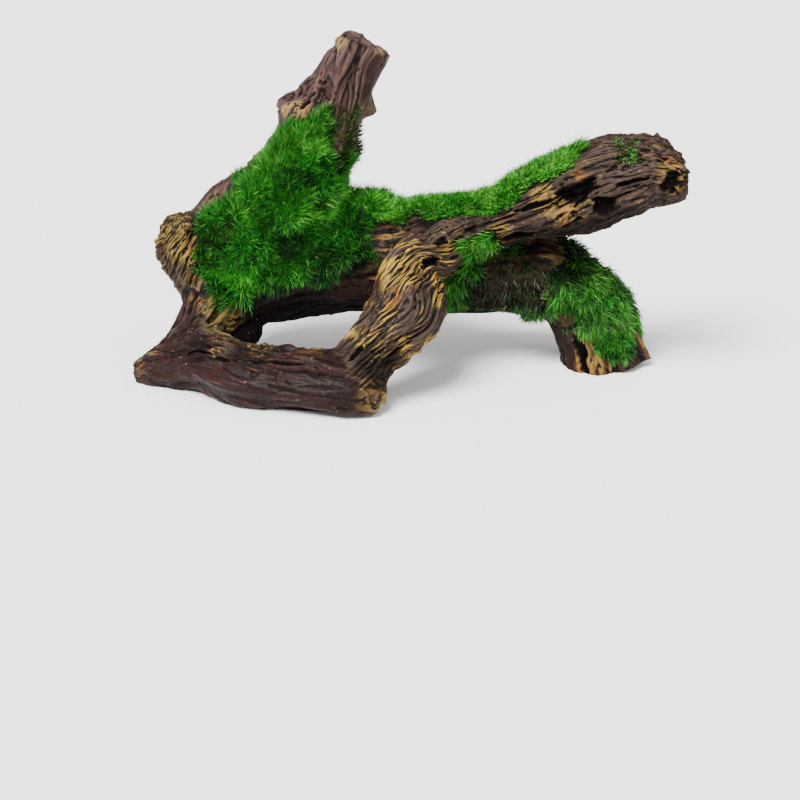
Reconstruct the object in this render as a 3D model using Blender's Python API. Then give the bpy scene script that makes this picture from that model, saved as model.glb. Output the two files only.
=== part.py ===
"""Mossy driftwood ornament: an arched limb with a standing limb, a long branch, a root and a log, and moss pads.

All sizes below are in millimetres and the meshes are written in metres. +X runs to the right along the
long branch, +Y to the back and +Z up. It stands on z = 0, with the origin under the middle of its box.
"""

import math

import bmesh
import bpy
import numpy as np

MM = 0.001
MIDDLE = (-1.03, -4.76, 0.0)  # middle of the footprint in the frame of the knots, moved to the origin
GAP = 0.4  # clearance left between neighbouring solids
AROUND = 24  # facets around a limb
RING_STEP = 7.8  # spacing of the rings along a limb
FLUTE_DEPTH = 1.7  # height of the long bark ridges
LUMP_HEIGHT = 1.5  # height of the slow swellings
LUMP_WAVES = (  # direction and rate of each slow swelling, in radians per millimetre, and its phase
    ((0.13, 0.05, 0.09), 0.4),
    ((-0.07, 0.15, 0.11), 2.1),
    ((0.10, -0.09, 0.16), 4.4),
)
FLUTES = (  # ridges around the limb, drift per millimetre along it, phase and share
    (3, 0.030, 0.6, 0.35),
    (5, -0.045, 2.2, 0.30),
    (8, 0.065, 4.1, 0.35),
)
MOSS_SINK = 2.0  # how far a moss pad starts below the wood's surface
PATCH_STEPS = (9, 7)  # cells of a moss patch along and around its limb
GROUND_BLOCK = 400.0  # edge of the block below the ground that cuts the feet flat

BARK = (0.13, 0.075, 0.05)
BARK_PALE = (0.20, 0.13, 0.07)
MOSS_GREEN = (0.06, 0.24, 0.03)

# A knot of a limb is x, y, z, radius. A burr is share of the length, angle around, reach along, reach
# around, height. Angles go around a limb from its upper side (the left one of a standing limb) at 0 by
# the front at 90 and the underside at 180 to the back at -90.
LIMBS = {
    "arch_limb": {
        "knots": (
            (-87, -4, -5, 12), (-85, -2, 12, 12.5), (-77.5, 3, 25, 13.8), (-69, 9, 33, 16.5), (-52, 14, 39.5, 19.5),
            (-31, 18, 43, 22.5), (-5, 20, 41, 20.5), (17, 20, 37, 17.5), (38, 19, 37, 16), (54, 18, 36.5, 16),
            (68, 18, 27, 15), (75, 17, 12, 15), (79, 16, -2, 17),
        ),
        "tips": (0, 0),
        "burrs": ((0.17, 95, 7, 8, 2.5), (0.25, 70, 6, 7, 2.5), (0.47, 5, 12, 12, 3.5), (0.15, 172, 9, 10, 8)),
        "colour": BARK,
    },
    "standing_limb": {
        "knots": (
            (-80, 10, 30, 12), (-74, 12, 43, 18.5), (-65, 14, 55, 22), (-49.5, 16, 71, 19), (-40.5, 17, 86, 15.5),
            (-33.5, 18, 100, 14), (-26, 19, 113, 11), (-21.5, 20, 122, 10), (-17, 21, 130.5, 9.5),
        ),
        "tips": (4, 1.5),
        "burrs": (
            (0.70, 0, 5, 9, 6), (0.82, 182, 3.5, 4, 5), (0.665, 184, 3.5, 4.5, 3.5), (0.98, 10, 4, 6, 2),
            (0.93, 58, 9, 4.5, 1.6), (0.80, 88, 9, 4.5, 1.6), (0.92, 115, 10, 5, -2.2),
        ),
        "colour": BARK_PALE,
    },
    "long_branch": {
        "knots": (
            (-4, 16, 49, 13.5), (16, 10, 57, 10.5), (36, 7, 63, 11), (53, 4, 69.5, 13.5), (66, 2, 75.5, 16),
            (79, 0, 81, 16.3), (93, -2, 84.6, 13.3), (106, -4, 84.5, 9),
        ),
        "tips": (4, 2),
        "burrs": ((0.62, 80, 14, 3, -3.5), (0.76, 105, 8, 3, -3)),
        "colour": BARK,
    },
    "front_root": {
        "knots": (
            (21, 8, 58, 7), (13, 1, 53.5, 9.5), (4, -7, 49.5, 11.5), (0, -15, 43, 13.5), (-3, -22, 34.5, 14.5),
            (-10, -29, 26, 12.5), (-18, -34, 16, 11.5), (-24, -38, 7, 11),
        ),
        "tips": (3, 3),
        "burrs": ((0.24, 150, 4, 4, -4),),
        "colour": BARK_PALE,
    },
    "ground_log": {
        "knots": (
            (-106, -5, 4, 5.5), (-96, -10, 8, 8.5), (-80, -18, 12, 10.5), (-62, -29, 11, 12.5), (-42, -35, 10, 13),
            (-25, -38, 9, 12), (-13, -38, 7, 10),
        ),
        "tips": (4, 3),
        "burrs": (),
        "colour": BARK,
    },
    "side_knob": {
        "knots": ((-78, 8, 24, 9.5), (-82.5, 7, 38, 9.5), (-88.5, 5, 52, 10.5), (-90, 4, 61, 8.5)),
        "tips": (4, 5),
        "burrs": ((0.40, 70, 4, 8, -2.5), (0.12, 80, 5, 7, 2.5)),
        "colour": BARK_PALE,
    },
}
# Each limb is parted from the ones listed after it, which keep their full shape at that fork.
FORKS = {
    "standing_limb": ("arch_limb",),
    "long_branch": ("arch_limb", "standing_limb"),
    "front_root": ("arch_limb", "long_branch"),
    "ground_log": ("arch_limb", "front_root"),
    "side_knob": ("arch_limb", "standing_limb"),
}
STANDS_ON_GROUND = ("arch_limb", "front_root", "ground_log")

# A moss patch lies on one limb: start and end along it as shares, start and end angle around it, thickness.
# The end is given for the start angle and the end angle, or at even steps between them, and the end angle is
# a pair, for the start and the end.
MOSS_PADS = {
    "moss_mantle": {
        "patches": (
            ("standing_limb", 0.06, (0.64, 0.79, 0.80, 0.80), 20, (180, 190), 5.0),
            ("arch_limb", 0.16, (0.53, 0.53), -70, (120, 80), 6.0),
            ("long_branch", 0.0, (0.70, 0.70), -75, (50, 40), 5.5),
        ),
        "cut_by": ("arch_limb", "standing_limb", "long_branch", "front_root", "side_knob"),
    },
    "moss_leg": {
        "patches": (
            ("arch_limb", 0.56, (0.95, 0.93), -5, (140, 140), 4.5),
            ("arch_limb", 0.90, (0.97, 0.97), 40, (92, 85), 3.5),
            ("long_branch", 0.15, (0.36, 0.34), 95, (155, 155), 3.5),
        ),
        "cut_by": ("arch_limb", "long_branch", "front_root"),
    },
    "moss_tuft": {
        "patches": (("long_branch", 0.80, (0.88, 0.88), 0, (50, 50), 2.5),),
        "cut_by": ("long_branch",),
    },
}


def spline(knots, per_span=12):
    """A smooth curve through the knots (Catmull-Rom), as one row of x, y, z, radius per sample."""
    points = np.asarray(knots, float)
    ends = np.vstack([2 * points[0] - points[1], points, 2 * points[-1] - points[-2]])
    t = np.linspace(0, 1, per_span, endpoint=False)[:, None]
    rows = []
    for a, b, c, d in zip(ends[:-3], ends[1:-2], ends[2:-1], ends[3:]):
        bend = (2 * a - 5 * b + 4 * c - d) * t**2 + (3 * b - 3 * c + d - a) * t**3
        rows.append(0.5 * (2 * b + (c - a) * t + bend))
    return np.vstack(rows + [points[-1:]])


def path_at(limb, share):
    """Centre, radius, tangent and length so far at each share of the limb's length."""
    rows = spline(LIMBS[limb]["knots"])
    steps = np.linalg.norm(np.diff(rows[:, :3], axis=0), axis=1)
    along = np.concatenate([[0.0], np.cumsum(steps)])
    wanted = np.asarray(share, float) * along[-1]
    centre = np.stack([np.interp(wanted, along, rows[:, k]) for k in range(3)], -1)
    radius = np.interp(wanted, along, rows[:, 3])
    slope = np.gradient(rows[:, :3], along, axis=0)
    tangent = np.stack([np.interp(wanted, along, slope[:, k]) for k in range(3)], -1)
    tangent /= np.linalg.norm(tangent, axis=-1, keepdims=True)
    return centre, radius, tangent, wanted


def limb_length(limb):
    return float(path_at(limb, [1.0])[3][0])


def swelling(points):
    """Slow lumps of the wood: the mean of three plane waves, from -1 to 1."""
    return sum(np.sin(points @ np.array(rate) + phase) for rate, phase in LUMP_WAVES) / len(LUMP_WAVES)


def fluting(along, angle):
    """Long bark ridges that drift around the limb, from -1 to 1."""
    return sum(part * np.sin(n * angle + drift * along + phase) for n, drift, phase, part in FLUTES)


def burrs(limb, share, angle, radius):
    """Knobs and hollows: a smooth hump for each burr of the limb."""
    length = limb_length(limb)
    total = np.zeros(np.broadcast(share, angle).shape)
    for place, turn, reach_along, reach_around, height in LIMBS[limb]["burrs"]:
        off = (angle - math.radians(turn) + math.pi) % (2 * math.pi) - math.pi
        total = total + height * np.exp(
            -(((share - place) * length / reach_along) ** 2) - (off * radius / reach_around) ** 2
        )
    return total


def on_limb(limb, share, angle, lift=0.0, bark=1.0):
    """Points of the limb's surface at shares along it and angles around it, raised by lift."""
    centre, radius, tangent, along = path_at(limb, share)
    side = np.array([0.0, 1.0, 0.0]) - tangent * tangent[..., 1:2]
    side /= np.linalg.norm(side, axis=-1, keepdims=True)
    above = np.cross(tangent, side)
    outward = above * np.cos(angle)[..., None] - side * np.sin(angle)[..., None]
    base = centre + outward * radius[..., None]
    relief = bark * FLUTE_DEPTH * fluting(along, angle) * np.clip(radius / 12.0, 0.4, 1.0)
    relief = relief + LUMP_HEIGHT * swelling(base) + burrs(limb, share, angle, radius)
    return base + outward * (relief + lift)[..., None]


def mesh_object(name, points, faces):
    """A closed mesh object from points in millimetres, with its faces turned outwards."""
    mesh = bpy.data.meshes.new(name)
    mesh.from_pydata([tuple(p) for p in (points - np.array(MIDDLE)) * MM], [], faces)
    shape = bmesh.new()
    shape.from_mesh(mesh)
    bmesh.ops.remove_doubles(shape, verts=shape.verts, dist=0.01 * MM)
    bmesh.ops.triangulate(shape, faces=shape.faces, quad_method="FIXED")
    bmesh.ops.recalc_face_normals(shape, faces=shape.faces)
    shape.to_mesh(mesh)
    shape.free()
    return bpy.data.objects.new(name, mesh)


def limb_object(name, limb, grow=0.0):
    """The whole limb as a loft between its sections, grown outwards by grow, with a dome on each end."""
    length = limb_length(limb)
    rings = max(6, round(length / RING_STEP))
    share = np.linspace(0, 1, rings + 1)
    angle = np.linspace(0, 2 * math.pi, AROUND, endpoint=False)
    sections = [on_limb(limb, np.full(AROUND, s), angle, grow) for s in share]
    start_dome, end_dome = LIMBS[limb]["tips"]
    before = dome_sections(limb, 0.0, -(start_dome + grow), sections[0])
    after = dome_sections(limb, 1.0, end_dome + grow, sections[-1])
    sections = before[:0:-1] + sections + after[1:]
    points = np.vstack([np.vstack(sections), before[0][:1], after[0][:1]])
    count = len(sections)
    faces = [
        (i * AROUND + j, i * AROUND + (j + 1) % AROUND, (i + 1) * AROUND + (j + 1) % AROUND, (i + 1) * AROUND + j)
        for i in range(count - 1)
        for j in range(AROUND)
    ]
    first_pole, last_pole, last = count * AROUND, count * AROUND + 1, (count - 1) * AROUND
    faces += [(first_pole, (j + 1) % AROUND, j) for j in range(AROUND)]
    faces += [(last_pole, last + j, last + (j + 1) % AROUND) for j in range(AROUND)]
    return mesh_object(name, points, faces)


def dome_sections(limb, share, height, rim):
    """The pole point, then the shrinking sections of a dome of that height on the rim, from the rim out."""
    centre, _, tangent, _ = path_at(limb, [share])
    pole = centre[0] + tangent[0] * height
    steps = [math.radians(a) for a in ((35, 65) if abs(height) > 2 else (50,))]
    rings = [
        centre[0] + (rim - centre[0]) * math.cos(a) + tangent[0] * height * math.sin(a)
        for a in steps
    ]
    return [pole[None, :]] + rings


def patch_object(name, limb, start, ends, angle_from, angles_to, thickness):
    """One pillow of moss on a limb: a grid over its surface, thick in the middle and thin at the rim."""
    nu, nv = PATCH_STEPS
    u, v = np.meshgrid(np.linspace(-1, 1, nu + 1), np.linspace(-1, 1, nv + 1), indexing="ij")
    wave = 1 + 0.10 * np.sin(5.0 * u + 1.3) + 0.06 * np.sin(11.0 * u)
    end = np.interp(v, np.linspace(-1, 1, len(ends)), ends)
    angle_to = angles_to[0] + (angles_to[1] - angles_to[0]) * (u + 1) / 2
    share = (start + end) / 2 + (end - start) / 2 * u * (1 + 0.05 * np.sin(4 * v + 0.7))
    turn = np.radians((angle_from + angle_to) / 2 + (angle_to - angle_from) / 2 * v * wave)
    profile = ((1 - u**6) * (1 - v**6)) ** 0.5
    share = np.clip(share, 0, 1)
    top = on_limb(limb, share, turn, 0.5 + (thickness - 0.5) * profile, bark=0.2)
    low = on_limb(limb, share, turn, -MOSS_SINK, bark=0.0)
    points = np.vstack([top.reshape(-1, 3), low.reshape(-1, 3)])
    row, layer = nv + 1, (nu + 1) * (nv + 1)
    faces = []
    for i in range(nu):
        for j in range(nv):
            a, b, c, d = i * row + j, (i + 1) * row + j, (i + 1) * row + j + 1, i * row + j + 1
            faces += [(a, b, c, d), (d + layer, c + layer, b + layer, a + layer)]
    rim = [(i * row, (i + 1) * row) for i in range(nu)]
    rim += [(nu * row + j, nu * row + j + 1) for j in range(nv)]
    rim += [((i + 1) * row + nv, i * row + nv) for i in reversed(range(nu))]
    rim += [(j + 1, j) for j in reversed(range(nv))]
    faces += [(b, a, a + layer, b + layer) for a, b in rim]
    return mesh_object(name, points, faces)


def material(name, colour, roughness):
    made = bpy.data.materials.new(name)
    made.use_nodes = True
    shader = made.node_tree.nodes["Principled BSDF"]
    shader.inputs["Base Color"].default_value = (*colour, 1.0)
    shader.inputs["Roughness"].default_value = roughness
    shader.inputs["Metallic"].default_value = 0.0
    return made


def boolean(target, other, operation):
    step = target.modifiers.new(f"{operation}_{other.name}", "BOOLEAN")
    step.operation = operation
    step.solver = "EXACT"
    step.object = other


def hide_cutter(obj, cutters):
    obj.hide_render = True
    obj.display_type = "WIRE"
    cutters.objects.link(obj)


def settle(obj):
    """Applies the object's modifiers and keeps its largest body, dropping slivers that a cut left loose."""
    graph = bpy.context.evaluated_depsgraph_get()
    mesh = bpy.data.meshes.new_from_object(obj.evaluated_get(graph))
    obj.modifiers.clear()
    shape = bmesh.new()
    shape.from_mesh(mesh)
    bmesh.ops.triangulate(shape, faces=shape.faces)
    unseen, bodies = set(shape.verts), []
    while unseen:
        body, front = set(), [unseen.pop()]
        while front:
            vert = front.pop()
            body.add(vert)
            near = {edge.other_vert(vert) for edge in vert.link_edges} & unseen
            unseen -= near
            front += near
        bodies.append(body)
    largest = max(bodies, key=len)
    bmesh.ops.delete(shape, geom=[v for v in shape.verts if v not in largest], context="VERTS")
    shape.to_mesh(mesh)
    shape.free()
    obj.data = mesh


def make_wood(parts, cutters):
    """The limbs, parted at their forks and cut flat on the ground, and the grown limbs that part them."""
    bpy.ops.mesh.primitive_cube_add(size=GROUND_BLOCK * MM, location=(0, 0, -GROUND_BLOCK * MM / 2))
    ground = bpy.context.object
    ground.name = "ground_cutter"
    for owner in list(ground.users_collection):
        owner.objects.unlink(ground)
    hide_cutter(ground, cutters)
    wood, grown = [], {}
    for limb in LIMBS:
        grown[limb] = limb_object(f"{limb}_cutter", limb, GAP)
        hide_cutter(grown[limb], cutters)
    for limb, facts in LIMBS.items():
        obj = limb_object(limb, limb)
        parts.objects.link(obj)
        obj.data.materials.append(material(f"{limb}_bark", facts["colour"], 0.6))
        for other in FORKS.get(limb, ()):
            boolean(obj, grown[other], "DIFFERENCE")
        if limb in STANDS_ON_GROUND:
            boolean(obj, ground, "DIFFERENCE")
        wood.append(obj)
    return wood, grown


def make_moss(parts, cutters, grown):
    """The moss pads: joined pillows, cut away where the wood is."""
    green = material("moss", MOSS_GREEN, 0.8)
    pads = []
    for name, facts in MOSS_PADS.items():
        first, *others = [
            patch_object(name if k == 0 else f"{name}_patch_{k}", *patch)
            for k, patch in enumerate(facts["patches"])
        ]
        parts.objects.link(first)
        first.data.materials.append(green)
        for other in others:
            hide_cutter(other, cutters)
            boolean(first, other, "UNION")
        for limb in facts["cut_by"]:
            boolean(first, grown[limb], "DIFFERENCE")
        pads.append(first)
    return pads


def main():
    for obj in list(bpy.data.objects):
        bpy.data.objects.remove(obj, do_unlink=True)
    parts = bpy.data.collections.new("mossy_driftwood")
    cutters = bpy.data.collections.new("cutters")
    for group in (parts, cutters):
        bpy.context.scene.collection.children.link(group)
    wood, grown = make_wood(parts, cutters)
    pads = make_moss(parts, cutters, grown)
    bpy.context.view_layer.update()
    for obj in wood + pads:
        settle(obj)


main()
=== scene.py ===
"""Looks of the mossy driftwood: carved bark over every limb, and moss fibres on the moss pads.

Lengths are millimetres in the frame of the limbs' knots. `metres` turns them into the part's frame.
"""

import math

import bpy
import numpy as np
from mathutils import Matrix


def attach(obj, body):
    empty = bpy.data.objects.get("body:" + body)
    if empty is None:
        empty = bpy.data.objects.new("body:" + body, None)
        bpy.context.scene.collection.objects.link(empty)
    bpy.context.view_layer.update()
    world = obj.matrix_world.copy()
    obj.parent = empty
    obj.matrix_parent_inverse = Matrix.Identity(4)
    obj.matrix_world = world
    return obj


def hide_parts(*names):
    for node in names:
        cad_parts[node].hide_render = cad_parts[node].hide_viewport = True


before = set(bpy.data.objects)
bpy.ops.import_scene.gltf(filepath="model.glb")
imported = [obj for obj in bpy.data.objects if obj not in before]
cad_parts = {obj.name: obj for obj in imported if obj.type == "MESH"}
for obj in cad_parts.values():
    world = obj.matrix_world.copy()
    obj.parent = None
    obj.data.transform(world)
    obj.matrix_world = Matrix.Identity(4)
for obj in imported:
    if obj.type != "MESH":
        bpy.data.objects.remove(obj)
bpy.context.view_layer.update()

MM = 0.001
MIDDLE = np.array([-1.03, -4.76, 0.0])  # middle of the footprint in the frame of the knots
FINE = 1.0  # share of the full mesh resolution
FLUTE_DEPTH = 1.7
LUMP_HEIGHT = 1.5
LUMP_WAVES = (((0.13, 0.05, 0.09), 0.4), ((-0.07, 0.15, 0.11), 2.1), ((0.10, -0.09, 0.16), 4.4))
FLUTES = ((3, 0.030, 0.6, 0.35), (5, -0.045, 2.2, 0.30), (8, 0.065, 4.1, 0.35))
FORK_FILLET = 2.0  # softness of the fillets where limbs meet
FORK_REACH = 8.0  # farthest that a fillet lifts a limb's surface
FORK_SINK = 1.4  # how far a limb dips below its neighbour's surface past the seam
SEAM_WIDTH = 3.0  # over this width
FAR = 99.0  # margin of a point that is near no other limb
DOME_ROWS = 16  # rows of the grid on a limb's rounded end
LOCK_SIZE = 4.0  # width of a lock of moss fibres
FIBRE_SINK = 0.6  # how deep a fibre's foot is in the wood
LENS = 148.36  # focal length for a sensor of 36
CAMERA_PLACE = (-3.544, -1236.373, 461.722)
CAMERA_LEAN = 69.083  # degrees from straight down

# A knot is x, y, z, radius, and tips are the heights of the rounded ends. A burr is share, angle, reach
# along, reach around, height, and a hole is the same with its depth. Angles go around a limb from its
# upper side at 0 by the front at 90 and the underside at 180 to the back at -90. rows and columns are
# the size of the surface grid. spacing, stretch, twist and sway lay out the bark's strands, depth is
# their height, thread that of thin raised lines and ledge that of the bark plates. ribs is the number
# of fine raised lines around the limb, and slab the height of one broad step of the wood. calm is the
# angle where the bark is smoother, and how much. toes is the height of the folds at the limb's end.
# gold is the share of tan paint on the ridges and soot that of black paint in the grooves. coat and tan
# are the colours of the wood's main paint and of its lines.
LIMBS = {
    "arch_limb": dict(
        knots=(
            (-87, -4, -5, 12), (-85, -2, 12, 12.5), (-77.5, 3, 25, 13.8), (-69, 9, 33, 16.5),
            (-52, 14, 39.5, 19.5), (-31, 18, 43, 22.5), (-5, 20, 41, 20.5), (17, 20, 37, 17.5),
            (38, 19, 37, 16), (54, 18, 36.5, 16), (68, 18, 27, 15), (75, 17, 12, 15), (79, 16, -2, 17),
        ),
        tips=(0, 0),
        burrs=((0.17, 95, 7, 8, 2.5), (0.25, 70, 6, 7, 2.5), (0.47, 5, 12, 12, 3.5), (0.15, 172, 9, 10, 8)),
        holes=((0.19, 108, 4, 2.2, 2.0), (0.15, 82, 5, 1.6, 2.0), (0.96, 118, 9, 2.2, 3.0)),
        rows=425, columns=216, spacing=3.4, stretch=8, twist=0.004, sway=0.8, depth=1.4,
        thread=0.3, ribs=26, ledge=0.9, slab=1.1, calm=(140, 0.6), toes=1.6, gold=0.40, soot=1.0,
        coat=(0.0120, 0.0056, 0.0046), tan=(0.165, 0.094, 0.020), seed=11,
    ),
    "standing_limb": dict(
        knots=(
            (-80, 10, 30, 12), (-74, 12, 43, 18.5), (-65, 14, 55, 22), (-49.5, 16, 71, 19),
            (-40.5, 17, 86, 15.5), (-33.5, 18, 100, 14), (-26, 19, 113, 11), (-21.5, 20, 122, 10),
            (-17, 21, 130.5, 9.5),
        ),
        tips=(4, 1.5),
        burrs=(
            (0.70, 0, 5, 9, 6), (0.82, 182, 3.5, 4, 5), (0.665, 184, 3.5, 4.5, 3.5), (0.98, 10, 4, 6, 2),
            (0.93, 58, 9, 4.5, 1.6), (0.80, 88, 9, 4.5, 1.6), (0.92, 115, 10, 5, -2.2),
        ),
        holes=((0.85, 20, 3, 1.5, 2.0), (0.76, 36, 4, 1.2, 1.5)),
        rows=350, columns=230, spacing=5.0, stretch=5, twist=0.010, sway=1.0, depth=0.7,
        thread=0.15, ribs=14, ledge=1.0, slab=1.7, calm=(120, 0.5), toes=0, gold=0.35, soot=0.9,
        coat=(0.032, 0.0175, 0.0155), tan=(0.190, 0.122, 0.040), seed=23,
    ),
    "long_branch": dict(
        knots=(
            (-4, 16, 49, 13.5), (16, 10, 57, 10.5), (36, 7, 63, 11), (53, 4, 69.5, 13.5),
            (66, 2, 75.5, 16), (79, 0, 81, 16.3), (93, -2, 84.6, 13.3), (106, -4, 84.5, 9),
        ),
        tips=(4, 2), burrs=((0.62, 80, 14, 3, -3.5), (0.76, 105, 8, 3, -3)),
        holes=(
            (0.675, 70, 9, 4.6, 4.0), (0.74, 106, 5, 4.2, 4.0), (0.975, 92, 4.0, 5.5, 2.5),
            (0.44, 120, 9, 2.0, 3.0), (0.84, 82, 7, 1.0, 1.5), (0.52, 66, 7, 1.2, 2.0),
            (0.60, 112, 6, 1.2, 1.5),
        ),
        rows=350, columns=256, spacing=3.1, stretch=8, twist=0.006, sway=0.8, depth=1.6,
        thread=0.35, ribs=40, ledge=1.2, slab=1.8, calm=(180, 0.3), toes=0, gold=0.35, soot=1.1,
        coat=(0.0160, 0.0100, 0.0074), tan=(0.185, 0.116, 0.026), seed=37,
    ),
    "front_root": dict(
        knots=(
            (21, 8, 58, 7), (13, 1, 53.5, 9.5), (4, -7, 49.5, 11.5), (0, -15, 43, 13.5),
            (-3, -22, 34.5, 14.5), (-10, -29, 26, 12.5), (-18, -34, 16, 11.5), (-24, -38, 7, 11),
        ),
        tips=(3, 3), burrs=((0.24, 150, 4, 4, -4),),
        holes=((0.31, 84, 4.6, 2.8, 2.2), (0.20, 120, 4, 1.8, 2.0), (0.83, 130, 4, 1.6, 2.0)),
        rows=280, columns=256, spacing=2.9, stretch=9, twist=-0.030, sway=0.4, depth=1.7,
        thread=0.35, ribs=42, ledge=0.6, slab=1.2, calm=(180, 0.2), toes=0, gold=0.75, soot=1.1,
        coat=(0.0220, 0.0142, 0.0098), tan=(0.300, 0.190, 0.026), seed=41,
    ),
    "ground_log": dict(
        knots=(
            (-106, -5, 4, 5.5), (-96, -10, 8, 8.5), (-80, -18, 12, 10.5), (-62, -29, 11, 12.5),
            (-42, -35, 10, 13), (-25, -38, 9, 12), (-13, -38, 7, 10),
        ),
        tips=(4, 3), burrs=(),
        holes=((0.32, 46, 5, 1.2, 1.5), (0.42, 52, 4, 1.0, 1.2), (0.66, 40, 7, 0.9, 1.2)),
        rows=330, columns=220, spacing=3.6, stretch=10, twist=-0.004, sway=0.8, depth=1.2,
        thread=0.2, ribs=18, ledge=1.3, slab=0.9, calm=(118, 0.7), toes=0, gold=0.4, soot=0.8,
        coat=(0.0078, 0.0031, 0.0028), tan=(0.160, 0.100, 0.030), seed=53,
    ),
    "side_knob": dict(
        knots=((-78, 8, 24, 9.5), (-82.5, 7, 38, 9.5), (-88.5, 5, 52, 10.5), (-90, 4, 61, 8.5)),
        tips=(4, 5), burrs=((0.40, 70, 4, 8, -2.5), (0.12, 80, 5, 7, 2.5)),
        holes=((0.36, 110, 3, 4, 2.0),),
        rows=140, columns=190, spacing=2.8, stretch=7, twist=-0.110, sway=0.6, depth=1.3,
        thread=0.35, ribs=30, ledge=0.5, slab=0.6, calm=(180, 0.2), toes=0, gold=0.8, soot=1.1,
        coat=(0.0210, 0.0125, 0.0078), tan=(0.195, 0.138, 0.021), seed=67,
    ),
}

# Paints shared by the limbs, and the greens of the moss.
BLACK_PAINT = (0.0021, 0.0010, 0.0009)
RED_BROWN_PAINT = (0.026, 0.008, 0.0055)
ORANGE_PAINT = (0.280, 0.095, 0.014)
PAINTED_GLINT = (0.190, 0.155, 0.115)
OLIVE_FILM = (0.072, 0.064, 0.022)
# The bed's greens are the moss's dark base, made near black as painted shade under the fibres.
BED_DARK, BED_GREEN = (0.0010, 0.0018, 0.0007), (0.004, 0.009, 0.0015)
MOSS_ROOT_SHADE, MOSS_DULL = (0.0006, 0.004, 0.0005), (0.034, 0.040, 0.013)
MOSS_DEEP, MOSS_GREEN = (0.003, 0.064, 0.005), (0.019, 0.245, 0.010)
MOSS_LIGHT, MOSS_PALE = (0.062, 0.430, 0.018), (0.230, 0.560, 0.080)

UNDERSIDE_SHADE = dict(arch_limb=0.97, long_branch=0.7)  # how much black painted shade is on the underside

# Places with more tan and orange paint: x, y, z, radius and strength.
GILDED = (
    (-15, -46, 8, 9, 0.9), (-28, 14, 134, 6, 1.0), (-10, 16, 130, 4, 0.6), (-47, 8, 105, 9, 0.8),
    (-4, -24, 50, 11, 0.9), (-89, -4, 58, 12, 0.5), (-84, -3, 38, 9, 0.6), (-74, -12, 34, 10, 0.5),
    (58, -10, 73, 9, 0.4), (74, 0, 5, 12, 0.7), (36, -2, 60, 8, 0.4), (-106, -10, 6, 6, 0.45),
    (-6, 1, 56, 8, 0.4), (52, -9, 76, 8, 0.6), (57, 4, 50, 10, 0.3), (-18, 13, 92, 12, 0.3),
    (-74, 6, 68, 10, 0.4), (-62, 8, 78, 9, 0.4), (-58, -31, 22, 8, 0.3), (-74, -26, 22, 7, 0.3),
    (-38, -36, 21, 8, 0.35), (-72, -12, 26, 9, 0.6), (101, -13, 88, 8, 0.5), (106, -12, 84, 6, 0.5),
)
# Places with black painted shade, where shade falls under the moss crest, in the nook, low on the root and the
# log and on the standing limb's right side: x, y, z, radius and strength.
SHADED_SPOTS = (
    (8, 3, 65, 8, 0.9), (34, 1, 52, 15, 0.85), (-13, -38, 18, 15, 0.7), (-8, -30, 28, 12, 0.4),
    (-60, -33, 22, 12, 0.5), (-82, -25, 21, 9, 0.5), (-30, -38, 22, 10, 0.5), (64, -10, 78, 7, 0.4),
    (-88, -11, 26, 8, 0.5), (30, -2, 30, 20, 0.7), (43, 0, 42, 18, 0.9), (-10, 13, 122, 10, 0.55),
    (-14, 12, 112, 8, 0.5), (24, 0, 36, 13, 0.95), (62, -9, 66, 10, 0.5), (50, -8, 60, 8, 0.4),
)
# Places with an olive film of worn moss on the bark: x, y, z, radius and strength.
FILMED = (
    (-18, 13, 101, 13, 0.6), (-17, 14, 88, 10, 0.7), (-25, 8, 100, 10, 0.8), (-76, -12, 29, 11, 0.7),
    (-64, -20, 25, 9, 0.6), (88, 8, 30, 10, 0.4), (-62, 10, 80, 8, 0.5), (80, 10, 44, 12, 0.8),
)
# Places where the bark is broken into rough steps: x, y, z, radius and strength.
ROUGH = (
    (-72, -10, 32, 16, 1.0), (-84, -10, 22, 12, 0.8), (-80, -24, 22, 9, 0.8), (-58, -32, 22, 12, 0.7),
    (-12, -38, 20, 14, 0.6), (62, -8, 74, 16, 0.6), (-38, 8, 108, 12, 0.6), (34, -2, 60, 10, 0.5),
)
# Places where the moss is thin, short and dull: x, y, z, radius and strength. Past 1.2 none grows there.
THIN_MOSS = (
    (-24, 4, 104, 12, 1.0), (-24, 5, 94, 12, 1.05), (-17, 15, 98, 14, 0.98), (-26, 5, 86, 8, 0.85),
    (-22, 14, 79, 8, 0.5), (-18, 12, 88, 8, 1.0), (32, 4, 34, 15, 1.0), (38, 1, 44, 15, 1.05),
    (48, 2, 36, 13, 1.0), (54, 6, 54, 16, 1.4), (63, 11, 55, 9, 1.3), (36, 0, 26, 12, 1.0),
    (-43, -5, 36, 9, 0.7), (-12, -2, 44, 10, 0.8), (80, 12, 47, 14, 0.6), (-70, -6, 62, 6, 0.7),
    (-9, 2, 57, 11, 1.5), (3, 2, 60, 9, 1.4), (-85, -6, 36, 10, 1.4), (68, 3, 13, 9, 1.35),
    (61, 4, 23, 8, 1.1),
)
# Places where the moss is painted darker, as painted shade in its deep gaps: x, y, z, radius and strength.
SHADED_MOSS = (
    (-78, -3, 56, 10, 0.7), (-49, -4, 56, 9, 0.8), (-33, -7, 49, 12, 0.6), (-58, -4, 66, 6, 0.5),
    (-44, -1, 80, 8, 0.5), (-22, -6, 46, 10, 0.6), (62, 8, 46, 12, 0.5), (30, 2, 36, 14, 0.8),
    (45, 3, 40, 14, 0.6),
)
# Places where the moss is painted lighter, as painted light, and more yellow-green: x, y, z, radius and
# strength.
LIT_MOSS = (
    (-15, 18, 69, 15, 1.0), (-30, 6, 70, 12, 0.6), (-42, -3, 66, 10, 0.5), (-55, -14, 44, 9, 0.5),
    (-36, 2, 92, 9, 0.4), (-66, -10, 44, 9, 0.5), (82, 10, 44, 12, 0.6),
)
# Places where the moss stands taller: x, y, z, radius and share added to its length.
TALL_MOSS = ((70, 0, 94, 7, 1.1), (-66, -8, 33, 8, 0.3))

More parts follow.
